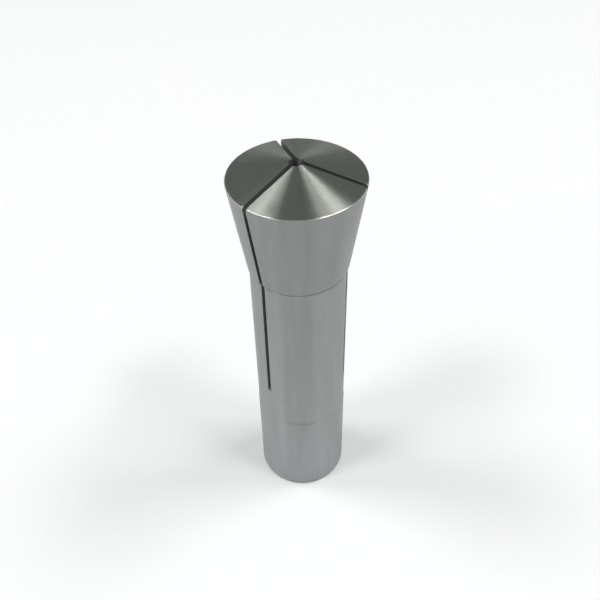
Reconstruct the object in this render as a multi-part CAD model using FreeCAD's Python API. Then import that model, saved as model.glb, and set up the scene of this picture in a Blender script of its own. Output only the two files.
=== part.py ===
import FreeCAD, Part
import math
import os

# Spring collet of the R8 size for a milling machine spindle, in millimetres.
# The origin is the centre of the tail face, and +Z runs up the axis to the nose.
# The rear slit and the keyway lie towards +Y.

# Head
HEAD_DIAMETER = 31.75
RIM_HEIGHT = 101.6
TAPER_HALF_ANGLE = 8.425
NOSE_SLOPE = 15.0
RIM_ROUNDING = 0.3

# Shank
BEARING_DIAMETER = 24.12
BEARING_LENGTH = 28.6
RELIEF_DEPTH = 0.11
RELIEF_LEAD = 0.6
NECK_STEP = 0.4
NECK_BREAK = 0.15
NECK_GROOVE_DEPTH = 0.08
NECK_GROOVE_LENGTH = 0.75
TAIL_CHAMFER = 0.6

# Draw bolt thread at the tail, cut as a plain hole of its major diameter
THREAD_DIAMETER = 11.11
THREAD_RIDGE = 0.595
THREAD_DEPTH = 28.0
THREAD_MOUTH_CHAMFER = 0.6

# Gripping bore for the tool shank
GRIP_DIAMETER = 3.175
GRIP_LENGTH = 25.0
GRIP_MOUTH_BREAK = 0.12
DRILL_POINT_ANGLE = 118.0

# Slits between the jaws
JAW_COUNT = 3
SLIT_WIDTH = 1.1
SLIT_END_HEIGHT = 39.4
SAW_RADIUS = 40.0
SLIT_EDGE_BREAK = 0.06
RIM_CORNER_BREAK = 0.28
REAR_SLIT_AZIMUTH = 90.0

# Keyway, open at the tail
KEYWAY_WIDTH = 4.0
KEYWAY_DEPTH = 2.5
KEYWAY_LENGTH = 24.0

# Distance that a cutter runs past a face that it cuts through
OVERRUN = 2.0

AXIS = FreeCAD.Vector(0, 0, 1)
ORIGIN = FreeCAD.Vector(0, 0, 0)


def tangent(degrees):
    return math.tan(math.radians(degrees))


# Sizes that follow from the driving dimensions
head_radius = HEAD_DIAMETER / 2
bearing_radius = BEARING_DIAMETER / 2
relief_radius = bearing_radius - RELIEF_DEPTH
neck_radius = relief_radius + NECK_STEP
neck_height = RIM_HEIGHT - (head_radius - neck_radius) / tangent(TAPER_HALF_ANGLE)
groove_radius = relief_radius - NECK_GROOVE_DEPTH
groove_top = neck_height - NECK_BREAK
groove_bottom = groove_top - NECK_GROOVE_LENGTH
grip_radius = GRIP_DIAMETER / 2
tip_height = RIM_HEIGHT + (head_radius - grip_radius) * tangent(NOSE_SLOPE)
thread_radius = THREAD_DIAMETER / 2
clearance_radius = thread_radius - THREAD_RIDGE
floor_radius = bearing_radius - KEYWAY_DEPTH


def point(radius, height):
    return FreeCAD.Vector(radius, 0, height)


def revolve(edges):
    """Solid of revolution about the axis, from a closed half section."""
    return Part.Face(Part.Wire(edges)).revolve(ORIGIN, AXIS, 360)


def polyline(corners):
    """Straight edges through (radius, height) corners."""
    return Part.makePolygon([point(radius, height) for radius, height in corners]).Edges


def rounded_rim():
    """Arc that rounds the rim between the taper and the nose, as (start, middle, end) points."""
    taper = math.radians(90 - TAPER_HALF_ANGLE)
    nose = math.radians(180 - NOSE_SLOPE)
    half_turn = (nose - taper) / 2
    setback = RIM_ROUNDING * math.tan(half_turn)
    corner = point(head_radius, RIM_HEIGHT)
    start = corner - setback * point(math.cos(taper), math.sin(taper))
    end = corner + setback * point(math.cos(nose), math.sin(nose))
    inward = taper + half_turn + math.pi / 2
    centre_distance = RIM_ROUNDING / math.cos(half_turn)
    middle = corner + (centre_distance - RIM_ROUNDING) * point(math.cos(inward), math.sin(inward))
    return start, middle, end


def blank():
    """The turned outside, from the tail up to the tip of the nose."""
    start, middle, end = rounded_rim()
    shank = polyline(
        [
            (0, 0),
            (bearing_radius - TAIL_CHAMFER, 0),
            (bearing_radius, TAIL_CHAMFER),
            (bearing_radius, BEARING_LENGTH),
            (relief_radius, BEARING_LENGTH + RELIEF_LEAD),
            (relief_radius, groove_bottom),
            (groove_radius, groove_bottom + NECK_GROOVE_DEPTH),
            (groove_radius, groove_top),
            (neck_radius - NECK_BREAK, groove_top),
            (neck_radius, neck_height),
            (start.x, start.z),
        ]
    )
    rim = [Part.Arc(start, middle, end).toShape()]
    nose = polyline([(end.x, end.z), (grip_radius, tip_height), (0, tip_height), (0, 0)])
    return revolve(shank + rim + nose)


def bore_cutter():
    """The stepped hole: bolt thread, clearance bore with its drill point, and gripping bore."""
    grip_start = tip_height - GRIP_LENGTH
    drill_point = (clearance_radius - grip_radius) / tangent(DRILL_POINT_ANGLE / 2)
    thread_step = THREAD_RIDGE / tangent(DRILL_POINT_ANGLE / 2)
    mouth_radius = thread_radius + THREAD_MOUTH_CHAMFER
    above = tip_height + OVERRUN
    return revolve(
        polyline(
            [
                (0, -OVERRUN),
                (mouth_radius, -OVERRUN),
                (mouth_radius, 0),
                (thread_radius, THREAD_MOUTH_CHAMFER),
                (thread_radius, THREAD_DEPTH),
                (clearance_radius, THREAD_DEPTH + thread_step),
                (clearance_radius, grip_start - drill_point),
                (grip_radius, grip_start),
                (grip_radius, tip_height - GRIP_MOUTH_BREAK),
                (grip_radius + GRIP_MOUTH_BREAK + OVERRUN, above),
                (0, above),
                (0, -OVERRUN),
            ]
        )
    )


def saw_height(radius):
    """Height of the saw's edge at a radius, from its height at the axis, where the cut ends."""
    return -math.sqrt(SAW_RADIUS**2 - (SAW_RADIUS - radius) ** 2)


def saw_cut():
    """One radial saw cut towards +X, from the nose down to the round run-out of the saw."""
    axis_height = SLIT_END_HEIGHT - saw_height(relief_radius)
    outside = head_radius + OVERRUN
    halfway = outside / 2
    top = tip_height + OVERRUN
    run_out = Part.Arc(
        point(outside, axis_height + saw_height(outside)),
        point(halfway, axis_height + saw_height(halfway)),
        point(0, axis_height),
    )
    sides = polyline(
        [
            (0, axis_height),
            (0, top),
            (outside, top),
            (outside, axis_height + saw_height(outside)),
        ]
    )
    outline = Part.Face(Part.Wire(sides + [run_out.toShape()]))
    outline.translate(FreeCAD.Vector(0, -SLIT_WIDTH / 2, 0))
    return outline.extrude(FreeCAD.Vector(0, SLIT_WIDTH, 0))


def edge_break(lower, upper, size):
    """45 degree groove along the slit's mouth, on the surface line from lower to upper."""
    along = (upper - lower).normalize()
    outward = FreeCAD.Vector(along.z, 0, -along.x)
    across = FreeCAD.Vector(0, 1, 0)
    depth = SLIT_WIDTH / 2 + size
    root = lower - depth * outward
    reach = depth + OVERRUN
    left = root + reach * (outward - across)
    right = root + reach * (outward + across)
    section = Part.Face(Part.makePolygon([root, left, right, root]))
    return section.extrude(upper - lower)


def slit_cutters(azimuth):
    """The saw cut and the broken edges of one slit."""
    start, _, end = rounded_rim()
    relief_top = point(relief_radius, groove_bottom)
    relief_bottom = point(relief_radius, SLIT_END_HEIGHT)
    past_rim = OVERRUN * (end - start).normalize()
    grooves = [
        edge_break(relief_bottom, relief_top, SLIT_EDGE_BREAK),
        edge_break(point(neck_radius, neck_height), start, SLIT_EDGE_BREAK),
        edge_break(start - past_rim, end + past_rim, RIM_CORNER_BREAK),
        edge_break(end, point(grip_radius, tip_height), SLIT_EDGE_BREAK),
    ]
    cutters = [saw_cut()] + grooves
    for cutter in cutters:
        cutter.rotate(ORIGIN, AXIS, azimuth)
    return cutters


def keyway_cutter():
    """Flat-bottomed groove with an end-milled round end, in line with the rear slit."""
    half_width = KEYWAY_WIDTH / 2
    round_centre = KEYWAY_LENGTH - half_width
    depth = KEYWAY_DEPTH + OVERRUN
    corner = FreeCAD.Vector(floor_radius, -half_width, -OVERRUN)
    straight = Part.makeBox(depth, KEYWAY_WIDTH, round_centre + OVERRUN, corner)
    outward = FreeCAD.Vector(1, 0, 0)
    round_end = Part.makeCylinder(half_width, depth, point(floor_radius, round_centre), outward)
    cutter = straight.fuse(round_end).removeSplitter()
    cutter.rotate(ORIGIN, AXIS, REAR_SLIT_AZIMUTH)
    return cutter


def collet():
    cutters = [bore_cutter(), keyway_cutter()]
    for jaw in range(JAW_COUNT):
        cutters += slit_cutters(REAR_SLIT_AZIMUTH + 360.0 * jaw / JAW_COUNT)
    shape = blank()
    for cutter in cutters:
        shape = shape.cut(cutter)
    return shape.removeSplitter()


os.makedirs("parts", exist_ok=True)
shape = collet()
shape.exportStep("parts/collet.step")
print("collet: solids", len(shape.Solids), "valid", shape.isValid(), "volume", round(shape.Volume, 1))
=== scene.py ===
import math

import bpy
from mathutils import Matrix, Vector


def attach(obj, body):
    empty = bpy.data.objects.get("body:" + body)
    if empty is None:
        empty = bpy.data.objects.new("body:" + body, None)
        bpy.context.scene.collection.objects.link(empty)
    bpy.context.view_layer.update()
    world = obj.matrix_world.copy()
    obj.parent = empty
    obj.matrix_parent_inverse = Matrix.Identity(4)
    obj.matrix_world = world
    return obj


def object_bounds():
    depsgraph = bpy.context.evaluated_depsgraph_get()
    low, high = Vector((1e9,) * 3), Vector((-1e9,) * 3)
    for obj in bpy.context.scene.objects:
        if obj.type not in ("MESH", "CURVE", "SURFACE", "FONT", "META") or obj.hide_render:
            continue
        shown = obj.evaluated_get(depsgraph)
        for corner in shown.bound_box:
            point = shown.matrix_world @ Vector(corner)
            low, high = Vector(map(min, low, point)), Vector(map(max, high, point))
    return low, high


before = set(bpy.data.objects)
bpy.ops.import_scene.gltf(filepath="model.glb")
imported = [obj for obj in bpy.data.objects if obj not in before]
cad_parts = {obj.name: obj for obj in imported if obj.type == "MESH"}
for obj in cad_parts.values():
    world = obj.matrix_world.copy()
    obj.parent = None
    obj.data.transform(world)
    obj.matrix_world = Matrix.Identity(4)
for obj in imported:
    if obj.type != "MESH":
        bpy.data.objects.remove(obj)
cad_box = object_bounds()

MM = 0.001

# The photograph's camera, turned about the collet's axis by its azimuth
CAMERA_AZIMUTH = math.radians(-14.91)
CAMERA_DISTANCE = 136.0 * MM
CAMERA_HEIGHT = 193.87 * MM
CAMERA_PITCH = math.radians(43.57)
CAMERA_PAN = math.radians(0.07)
CAMERA_ROLL = math.radians(-1.21)
CAMERA_LENS = 44.65
SENSOR_WIDTH = 36.0
CLIP_START = 0.01
CLIP_END = 20.0

# Soft lamps as the camera sees them: name, metres to the right and behind the collet, width, length, watts
LAMPS = (
    ("left_front", -0.86, -0.41, 0.34, 0.42, 6.4),
    ("left_rear", -0.92, 0.27, 0.45, 0.49, 7.7),
    ("right_front", 0.71, -0.38, 0.37, 0.28, 5.9),
    ("right_rear", 0.90, 0.22, 0.62, 0.45, 9.2),
)
LAMP_HEIGHT = 1.6
LAMP_COLOUR = (1.0, 1.0, 0.99)

# Studio round the collet. Each pair is the part of a unit vector where a side starts and where it is full.
HORIZON_COLOUR = (0.93, 0.935, 0.94, 1.0)
CEILING_COLOUR = (0.298, 0.308, 0.294, 1.0)
LEFT_SIDE = (-0.55, -0.9)
RIGHT_SIDE = (0.6, 0.95)
FAR_SIDE = (0.5, 0.85)
LEFT_RISE = 0.30
RIGHT_RISE = 0.05
FAR_DIP = 0.12
HORIZON_TO_CEILING = (0.02, 0.16)

# Pale sheet under the collet, in metres, with its noise as scale, detail and roughness
FLOOR_RADIUS = 3.0
FLOOR_CORNERS = 48
FLOOR_TO_HORIZON = (0.6, 1.5)
FLOOR_COLOURS = ((0.931, 0.932, 0.952, 1.0), (0.948, 0.944, 0.958, 1.0))
FLOOR_PATCHES = (7.0, 2.0, 0.5)
FLOOR_GRAIN = (900.0, 2.0, 0.5)
FLOOR_GRAIN_SHADE = 0.02
FLOOR_ROUGHNESS = 0.9
FLOOR_SPECULAR = 0.1

# Head of the collet, as the CAD has it
HEAD_RADIUS = 15.875 * MM
RIM_HEIGHT = 101.6 * MM

# Surfaces of the steel, told apart by their normal. Each pair is where one starts and where it is full.
NOSE_UPWARD = (0.5, 0.8)
TAPER_UPWARD = (-0.05, -0.12)
BORE_OUTWARD = (-0.1, -0.3)
WALL_OFF_PLANE = (0.5, 0.3)
RIM_UPWARD = (0.25, 0.45)
RIM_BELOW_FLAT = (0.96, 0.92)
RIM_OUTWARD = (0.15, 0.3)
RIM_HEIGHTS = (RIM_HEIGHT - 1.6 * MM, RIM_HEIGHT - 0.6 * MM)

# Rounding of the rim, where the CAD mesh's normals lean sideways, and the lean that only a broken edge has
ROUNDING_HEIGHTS = (RIM_HEIGHT - 0.35 * MM, RIM_HEIGHT - 0.3 * MM)
ROUNDING_RADII = (HEAD_RADIUS - 0.325 * MM, HEAD_RADIUS - 0.275 * MM)
ROUNDING_LEAN = (0.65, 0.5)

# Two colours that drift into each other on each surface of the steel
GROUND_COLOURS = ((0.352, 0.366, 0.361, 1.0), (0.371, 0.374, 0.377, 1.0))
TURNED_COLOURS = ((0.352, 0.376, 0.338, 1.0), (0.378, 0.386, 0.355, 1.0))
TAIL_COLOUR = (0.368, 0.374, 0.384, 1.0)
WALL_COLOUR = (0.37, 0.39, 0.355, 1.0)
TAIL_HEIGHTS = (35.0 * MM, 12.0 * MM)
TAIL_RAGGEDNESS = 30.0 * MM

# Share of its colour that each surface keeps, as painted shade and painted highlight. Steel is painted
# darker upwards, and the slit walls are painted darker in the head.
PAINTED_SHADE_HEIGHTS = (15.0 * MM, 75.0 * MM)
PAINTED_SHADE_UPWARDS = (0.975, 0.885)
# Slit walls: a dark rough non-metal, with painted shade that is darker in the head than on the shank
WALL_PAINTED_SHADE_HEIGHTS = (76.0 * MM, 82.0 * MM)
WALL_TONE_AND_PAINTED_SHADES = (0.46, 0.28)
# Painted shade on the turned nose, beyond its own turned colour
NOSE_PAINTED_SHADE = 0.875
# Painted shade on the downward-facing taper
TAPER_PAINTED_SHADE = 0.93
# Painted shade inside the bore
BORE_PAINTED_SHADE = 0.6
# Painted highlight: the rim's colour is raised so that its reflections come out brighter
RIM_PAINTED_HIGHLIGHT = 1.85

# Noise of the marks in the steel, as scale, detail and roughness
FINE_RINGS = (9000.0, 3.0, 0.7)
BROAD_RINGS = (1400.0, 2.0, 0.6)
CLOUDS = (160.0, 3.0, 0.6)
BANDS = (5.0, 2.0, 0.6)
ARCS = (2.2, 3.0, 0.6)
DRIFT = (45.0, 1.0, 0.5)
BAND_STRETCH = 6.0
ARC_STRETCH = 420.0
NOISE_MIDDLE = 0.5

# How far the patterns move the shade and the roughness
SHADE_SWINGS = {"fine": 0.10, "rings": 0.08, "cloud": 0.10, "bands": 0.26, "arcs": 0.12}
ROUGHNESS_SWINGS = {"rings": 0.10, "arcs": 0.14, "cloud": 0.08}

# Gloss of the steel
GROUND_ROUGHNESS = 0.36
NOSE_ROUGHNESS = 0.32
RIM_ROUGHNESS = 0.31
INNER_ROUGHNESS = 0.55
ANISOTROPY = 0.95
ANISOTROPY_TURN = 0.25
MARK_STRENGTH = 0.12
MARK_DEPTH = 0.04 * MM
RING_HEIGHT = 0.5

# Painted dark reflection on the front of the shank, towards the camera, whose edges fade over heights from
# its own height
PAINTED_REFLECTION_HEIGHT = 28.5 * MM
PAINTED_REFLECTION_REACH = math.radians(24)
PAINTED_REFLECTION_FULL_REACH = 0.6 * PAINTED_REFLECTION_REACH
PAINTED_REFLECTION_LOWER_EDGE = (-0.4 * MM, 0.0)
PAINTED_REFLECTION_SHARP_EDGE = (0.9 * MM, 0.3 * MM)
PAINTED_REFLECTION_FAINT_EDGE = (2.3 * MM, 0.2 * MM)
PAINTED_REFLECTION_SHARP_SHARE = 0.6
PAINTED_REFLECTION_SHADE = 0.10

# Internal thread of the draw bolt
THREAD_RADIUS = 5.555 * MM
THREAD_RIDGE = 0.595 * MM
THREAD_PITCH = 1.27 * MM
THREAD_START = 0.62 * MM
THREAD_END = 27.6 * MM
THREAD_FLANK = math.radians(30)
THREAD_ROOT_SHARE = 7 / 16
THREAD_SUNK = 0.03 * MM
THREAD_SEGMENTS = 96
THREAD_WORN_TURNS = 0.75
THREAD_FIRST_RISE = 0.04

# Least distance from the axis at which a direction round it is worked out
NEAR_AXIS = 0.01 * MM


def connect(tree, socket, value):
    """Gives an input a number, a colour or the output of another node."""
    if isinstance(value, bpy.types.NodeSocket):
        tree.links.new(value, socket)
    else:
        socket.default_value = value


def add(tree, kind, inputs=None, **settings):
    """A node of one kind with its settings, and with values for its inputs by name or number."""
    made = tree.nodes.new(kind)
    for name, value in settings.items():
        setattr(made, name, value)
    for name, value in (inputs or {}).items():
        connect(tree, made.inputs[name], value)
    return made


def maths(tree, operation, *values):
    return add(tree, "ShaderNodeMath", dict(enumerate(values)), operation=operation).outputs[0]


def vector_maths(tree, operation, inputs, output="Vector"):
    return add(tree, "ShaderNodeVectorMath", inputs, operation=operation).outputs[output]


def product(tree, first, *others):
    for other in others:
        first = maths(tree, "MULTIPLY", first, other)
    return first


def level_dot(tree, first, second):
    """Dot product of two directions that are given by x and y."""
    return maths(tree, "MULTIPLY_ADD", first[0], second[0], maths(tree, "MULTIPLY", first[1], second[1]))


def vary(tree, base, pattern, amount):
    """Value that a pattern moves up and down by half an amount."""
    return maths(tree, "MULTIPLY_ADD", maths(tree, "SUBTRACT", pattern, NOISE_MIDDLE), amount, base)


def ramp(tree, value, low, high, out_low=0.0, out_high=1.0):
    """Smooth step of a value from one range to another."""
    inputs = {"Value": value, "From Min": low, "From Max": high, "To Min": out_low, "To Max": out_high}
    return add(tree, "ShaderNodeMapRange", inputs, interpolation_type="SMOOTHSTEP").outputs["Result"]


def mix(tree, factor, first, second):
    """Number between two others."""
    inputs = {"Factor": factor, "A": first, "B": second}
    return add(tree, "ShaderNodeMix", inputs, data_type="FLOAT").outputs["Result"]


def tint(tree, factor, first, second):
    """Colour between two others."""
    made = add(tree, "ShaderNodeMix", {"Factor": factor}, data_type="RGBA")
    colours = [socket for socket in made.inputs if socket.type == "RGBA"]
    for socket, colour in zip(colours, (first, second)):
        connect(tree, socket, colour)
    return [socket for socket in made.outputs if socket.type == "RGBA"][0]


def noise(tree, scale, detail, roughness, **coordinates):
    """Pattern in space by a Vector, or along a line by a W."""
    dimensions = "1D" if "W" in coordinates else "3D"
    inputs = {"Scale": scale, "Detail": detail, "Roughness": roughness, **coordinates}
    return add(tree, "ShaderNodeTexNoise", inputs, noise_dimensions=dimensions).outputs["Fac"]


def empty_tree(owner):
    """Node tree of a material or world, without the nodes that it starts with."""
    owner.use_nodes = True
    owner.node_tree.nodes.clear()
    return owner.node_tree


def spoke(tree, facing, course, stretch):
    """Vector that turns with the angle about the axis, so that marks run on without a seam."""
    inputs = {"X": facing[0], "Y": facing[1], "Z": maths(tree, "MULTIPLY", course, stretch)}
    return add(tree, "ShaderNodeCombineXYZ", inputs).outputs["Vector"]


def painted_reflection(tree, facing, z):
    """Painted dark reflection on the front of the shank, where the bearing starts, on the side towards the
    camera.
    """
    camera_side = (math.sin(CAMERA_AZIMUTH), -math.cos(CAMERA_AZIMUTH))
    towards = level_dot(tree, facing, camera_side)
    height = maths(tree, "SUBTRACT", z, PAINTED_REFLECTION_HEIGHT)
    lower = ramp(tree, height, *PAINTED_REFLECTION_LOWER_EDGE)
    sharp = ramp(tree, height, *PAINTED_REFLECTION_SHARP_EDGE)
    faint = ramp(tree, height, *PAINTED_REFLECTION_FAINT_EDGE)
    strength = mix(tree, PAINTED_REFLECTION_SHARP_SHARE, faint, sharp)
    ends = ramp(tree, towards, math.cos(PAINTED_REFLECTION_REACH), math.cos(PAINTED_REFLECTION_FULL_REACH))
    return product(tree, lower, strength, ends)


def upright_normal(tree, facing, radius, z, normal):
    """Normal without the sideways lean that long triangles give it on the rounded rim."""
    inputs = {"X": maths(tree, "MULTIPLY", facing[1], -1.0), "Y": facing[0]}
    around = add(tree, "ShaderNodeCombineXYZ", inputs).outputs["Vector"]
    lean = vector_maths(tree, "DOT_PRODUCT", {0: around, 1: normal}, "Value")
    weight = product(
        tree,
        ramp(tree, z, *ROUNDING_HEIGHTS),
        ramp(tree, radius, *ROUNDING_RADII),
        ramp(tree, maths(tree, "ABSOLUTE", lean), *ROUNDING_LEAN),
    )
    excess = maths(tree, "MULTIPLY", lean, weight)
    sideways = vector_maths(tree, "SCALE", {0: around, "Scale": excess})
    upright = vector_maths(tree, "SUBTRACT", {0: normal, 1: sideways})
    return vector_maths(tree, "NORMALIZE", {0: upright})


def steel():
    """Ground and turned steel, with rings of fine marks round the axis."""
    material = bpy.data.materials.new("ground_steel")
    tree = empty_tree(material)
    place = add(tree, "ShaderNodeTexCoord").outputs
    x, y, z = add(tree, "ShaderNodeSeparateXYZ", {"Vector": place["Object"]}).outputs
    nx, ny, nz = add(tree, "ShaderNodeSeparateXYZ", {"Vector": place["Normal"]}).outputs
    radius = maths(tree, "SQRT", level_dot(tree, (x, y), (x, y)))
    reach = maths(tree, "MAXIMUM", radius, NEAR_AXIS)
    facing = (maths(tree, "DIVIDE", x, reach), maths(tree, "DIVIDE", y, reach))
    outward = level_dot(tree, facing, (nx, ny))

    nose = ramp(tree, nz, *NOSE_UPWARD)
    taper = ramp(tree, nz, *TAPER_UPWARD)
    bore = ramp(tree, outward, *BORE_OUTWARD)
    off_plane = maths(tree, "ADD", maths(tree, "ABSOLUTE", outward), maths(tree, "ABSOLUTE", nz))
    wall = ramp(tree, off_plane, *WALL_OFF_PLANE)
    inner = maths(tree, "MAXIMUM", wall, bore)
    rim = product(
        tree,
        ramp(tree, nz, *RIM_UPWARD),
        ramp(tree, nz, *RIM_BELOW_FLAT),
        ramp(tree, outward, *RIM_OUTWARD),
        ramp(tree, z, *RIM_HEIGHTS),
    )

    # Marks run round the axis, so they change only along the outline: by radius on the nose, else by height
    course = mix(tree, nose, z, radius)
    patterns = {
        "fine": noise(tree, *FINE_RINGS, W=course),
        "rings": noise(tree, *BROAD_RINGS, W=course),
        "cloud": noise(tree, *CLOUDS, Vector=place["Object"]),
        "bands": noise(tree, *BANDS, Vector=spoke(tree, facing, z, BAND_STRETCH)),
        "arcs": noise(tree, *ARCS, Vector=spoke(tree, facing, course, ARC_STRETCH)),
    }
    drift = noise(tree, *DRIFT, Vector=place["Object"])

    shade = 1.0
    for name, swing in SHADE_SWINGS.items():
        shade = vary(tree, shade, patterns[name], swing)
    # Painted shade and painted highlight from the surfaces' shares, on top of the random tone of the marks
    shade = product(
        tree,
        shade,
        ramp(tree, z, *PAINTED_SHADE_HEIGHTS, *PAINTED_SHADE_UPWARDS),
        mix(tree, nose, 1.0, NOSE_PAINTED_SHADE),
        mix(tree, taper, 1.0, TAPER_PAINTED_SHADE),
        mix(tree, bore, 1.0, BORE_PAINTED_SHADE),
        mix(tree, wall, 1.0, ramp(tree, z, *WALL_PAINTED_SHADE_HEIGHTS, *WALL_TONE_AND_PAINTED_SHADES)),
        mix(tree, rim, 1.0, RIM_PAINTED_HIGHLIGHT),
    )
    # Painted dark reflection on the front of the shank
    shade = maths(tree, "MULTIPLY_ADD", painted_reflection(tree, facing, z), -PAINTED_REFLECTION_SHADE, shade)

    ground = tint(tree, drift, *GROUND_COLOURS)
    ragged_height = vary(tree, z, patterns["cloud"], TAIL_RAGGEDNESS)
    ground = tint(tree, ramp(tree, ragged_height, *TAIL_HEIGHTS), ground, TAIL_COLOUR)
    colour = tint(tree, nose, ground, tint(tree, drift, *TURNED_COLOURS))
    colour = tint(tree, wall, colour, WALL_COLOUR)

    roughness = mix(tree, nose, GROUND_ROUGHNESS, NOSE_ROUGHNESS)
    for name, swing in ROUGHNESS_SWINGS.items():
        roughness = vary(tree, roughness, patterns[name], swing)
    roughness = mix(tree, rim, roughness, RIM_ROUGHNESS)
    roughness = mix(tree, inner, roughness, INNER_ROUGHNESS)

    marks = {
        "Strength": mix(tree, rim, MARK_STRENGTH, 0.0),
        "Distance": MARK_DEPTH,
        "Height": maths(tree, "MULTIPLY_ADD", patterns["rings"], RING_HEIGHT, patterns["fine"]),
        "Normal": upright_normal(tree, facing, radius, z, place["Normal"]),
    }
    turning = add(tree, "ShaderNodeTangent", direction_type="RADIAL", axis="Z")
    surface = {
        "Base Color": vector_maths(tree, "SCALE", {0: colour, "Scale": shade}),
        "Metallic": mix(tree, wall, 1.0, 0.0),
        "Roughness": roughness,
        "Anisotropic": ANISOTROPY,
        "Anisotropic Rotation": ANISOTROPY_TURN,
        "Tangent": turning.outputs["Tangent"],
        "Normal": add(tree, "ShaderNodeBump", marks).outputs["Normal"],
    }
    shader = add(tree, "ShaderNodeBsdfPrincipled", surface)
    add(tree, "ShaderNodeOutputMaterial", {"Surface": shader.outputs["BSDF"]})
    return material


def paper():
    """Pale sheet that the collet stands on, and that runs on into the pale horizon."""
    material = bpy.data.materials.new("pale_floor")
    tree = empty_tree(material)
    place = add(tree, "ShaderNodeTexCoord").outputs
    colour = tint(tree, noise(tree, *FLOOR_PATCHES, Vector=place["Object"]), *FLOOR_COLOURS)
    grain = noise(tree, *FLOOR_GRAIN, Vector=place["Object"])
    shade = vary(tree, 1.0, grain, FLOOR_GRAIN_SHADE)
    surface = {
        "Base Color": vector_maths(tree, "SCALE", {0: colour, "Scale": shade}),
        "Roughness": FLOOR_ROUGHNESS,
        "Specular IOR Level": FLOOR_SPECULAR,
    }
    shader = add(tree, "ShaderNodeBsdfPrincipled", surface)

    # The camera and reflections see the horizon far off, and lamplight still meets the sheet
    distance = vector_maths(tree, "LENGTH", {0: place["Object"]}, "Value")
    rays = add(tree, "ShaderNodeLightPath").outputs
    seen = maths(tree, "MAXIMUM", rays["Is Camera Ray"], rays["Is Glossy Ray"])
    seen = maths(tree, "MAXIMUM", seen, rays["Is Transmission Ray"])
    far = maths(tree, "MULTIPLY", ramp(tree, distance, *FLOOR_TO_HORIZON), seen)
    horizon = add(tree, "ShaderNodeEmission", {"Color": HORIZON_COLOUR, "Strength": 1.0})
    shaders = {0: far, 1: shader.outputs["BSDF"], 2: horizon.outputs["Emission"]}
    blend = add(tree, "ShaderNodeMixShader", shaders)
    add(tree, "ShaderNodeOutputMaterial", {"Surface": blend.outputs["Shader"]})
    return material


def link_object(name, data):
    made = bpy.data.objects.new(name, data)
    bpy.context.scene.collection.objects.link(made)
    return made


def mesh_object(name, vertices, faces):
    mesh = bpy.data.meshes.new(name)
    mesh.from_pydata(vertices, [], faces)
    mesh.validate()
    return link_object(name, mesh)


def on_circle(radius, angle, height):
    return (radius * math.cos(angle), radius * math.sin(angle), height)


def draw_thread():
    """Right-hand ridge inside the tail, with its crest worn in over the first and last turn."""
    steps = int((THREAD_END - THREAD_START) / THREAD_PITCH * THREAD_SEGMENTS)
    root = THREAD_RADIUS + THREAD_SUNK
    root_half = THREAD_PITCH * THREAD_ROOT_SHARE
    crest_half = root_half - THREAD_RIDGE * math.tan(THREAD_FLANK)
    vertices = []
    for step in range(steps + 1):
        turns = step / THREAD_SEGMENTS
        angle = 2 * math.pi * turns
        height = THREAD_START + root_half + THREAD_PITCH * turns
        from_end = min(step, steps - step) / (THREAD_SEGMENTS * THREAD_WORN_TURNS)
        rise = min(1.0, THREAD_FIRST_RISE + from_end)
        crest = THREAD_RADIUS - THREAD_RIDGE * rise
        half = root_half + (crest_half - root_half) * rise
        section = ((root, -root_half), (crest, -half), (crest, half), (root, root_half))
        vertices += [on_circle(radius, angle, height + offset) for radius, offset in section]

    corners = len(section)
    faces = []
    for now in range(0, corners * steps, corners):
        following = now + corners
        for k in range(corners):
            after = (k + 1) % corners
            faces.append((now + k, now + after, following + after, following + k))
    faces.append(tuple(reversed(range(corners))))
    faces.append(tuple(range(corners * steps, corners * (steps + 1))))
    return mesh_object("draw_thread", vertices, faces)


def floor():
    corners = range(FLOOR_CORNERS)
    rim = [on_circle(FLOOR_RADIUS, 2 * math.pi * k / FLOOR_CORNERS, 0.0) for k in corners]
    faces = [(0, 1 + k, 1 + (k + 1) % FLOOR_CORNERS) for k in corners]
    return mesh_object("floor", [(0.0, 0.0, 0.0)] + rim, faces)


def camera():
    data = bpy.data.cameras.new("photo_camera")
    data.lens = CAMERA_LENS
    data.sensor_width = SENSOR_WIDTH
    data.clip_start = CLIP_START
    data.clip_end = CLIP_END
    made = link_object("photo_camera", data)
    level = math.cos(CAMERA_PITCH)
    forward = Vector((math.sin(CAMERA_PAN) * level, math.cos(CAMERA_PAN) * level, -math.sin(CAMERA_PITCH)))
    right = Vector((math.cos(CAMERA_PAN), -math.sin(CAMERA_PAN), 0.0))
    up = right.cross(forward)
    tilted_right = math.cos(CAMERA_ROLL) * right + math.sin(CAMERA_ROLL) * up
    tilted_up = -math.sin(CAMERA_ROLL) * right + math.cos(CAMERA_ROLL) * up
    turn = Matrix((tilted_right, tilted_up, -forward)).transposed().to_4x4()
    place = Matrix.Translation((0.0, -CAMERA_DISTANCE, CAMERA_HEIGHT))
    made.matrix_world = Matrix.Rotation(CAMERA_AZIMUTH, 4, "Z") @ place @ turn
    bpy.context.scene.camera = made


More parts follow.
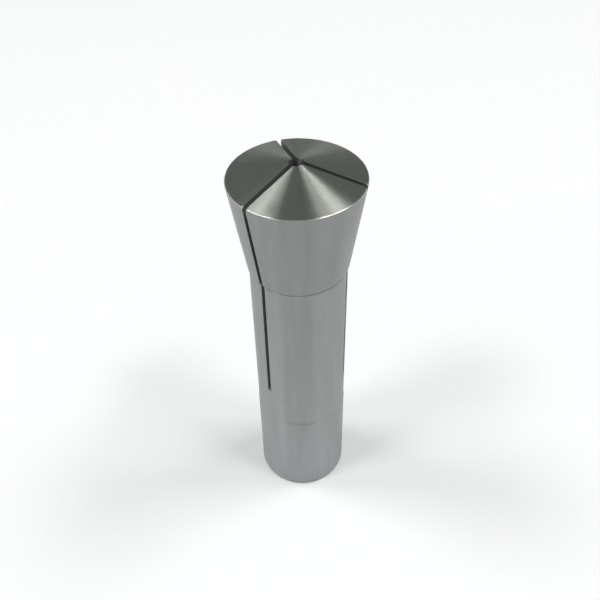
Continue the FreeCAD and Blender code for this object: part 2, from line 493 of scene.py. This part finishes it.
def soft_lamp(name, across, behind, width, length, power):
    """Soft box over the collet, placed as the camera sees it and aimed at the middle of the collet."""
    data = bpy.data.lights.new(name, "AREA")
    data.shape = "RECTANGLE"
    data.size = width
    data.size_y = length
    data.energy = power
    data.color = LAMP_COLOUR
    lamp = link_object(name, data)
    place = Vector((across, behind, LAMP_HEIGHT))
    aim = Vector((0.0, 0.0, cad_box[1][2] / 2)) - place
    turn = aim.to_track_quat("-Z", "Y").to_matrix().to_4x4()
    lamp.matrix_world = Matrix.Rotation(CAMERA_AZIMUTH, 4, "Z") @ Matrix.Translation(place) @ turn


def surroundings():
    """Grey studio ceiling over a pale horizon, higher to the left and right and lower behind the collet."""
    world = bpy.data.worlds.new("studio")
    bpy.context.scene.world = world
    tree = empty_tree(world)
    place = add(tree, "ShaderNodeTexCoord").outputs
    x, y, z = add(tree, "ShaderNodeSeparateXYZ", {"Vector": place["Generated"]}).outputs
    right = (math.cos(CAMERA_AZIMUTH), math.sin(CAMERA_AZIMUTH))
    ahead = (-math.sin(CAMERA_AZIMUTH), math.cos(CAMERA_AZIMUTH))
    across = level_dot(tree, (x, y), right)
    behind = level_dot(tree, (x, y), ahead)
    height = z
    for part, side, shift in (
        (across, LEFT_SIDE, -LEFT_RISE),
        (across, RIGHT_SIDE, -RIGHT_RISE),
        (behind, FAR_SIDE, FAR_DIP),
    ):
        height = maths(tree, "MULTIPLY_ADD", ramp(tree, part, *side), shift, height)
    level = ramp(tree, height, *HORIZON_TO_CEILING)
    colour = tint(tree, level, HORIZON_COLOUR, CEILING_COLOUR)
    backdrop = add(tree, "ShaderNodeBackground", {"Color": colour, "Strength": 1.0})
    add(tree, "ShaderNodeOutputWorld", {"Surface": backdrop.outputs["Background"]})


finish = steel()
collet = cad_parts["collet"]
for slot in collet.material_slots:
    slot.material = finish

thread = draw_thread()
thread.data.materials.append(finish)
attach(thread, "root")

ground = floor()
ground.data.materials.append(paper())

camera()
surroundings()
for lamp in LAMPS:
    soft_lamp(*lamp)

bpy.context.scene.view_settings.view_transform = "Standard"
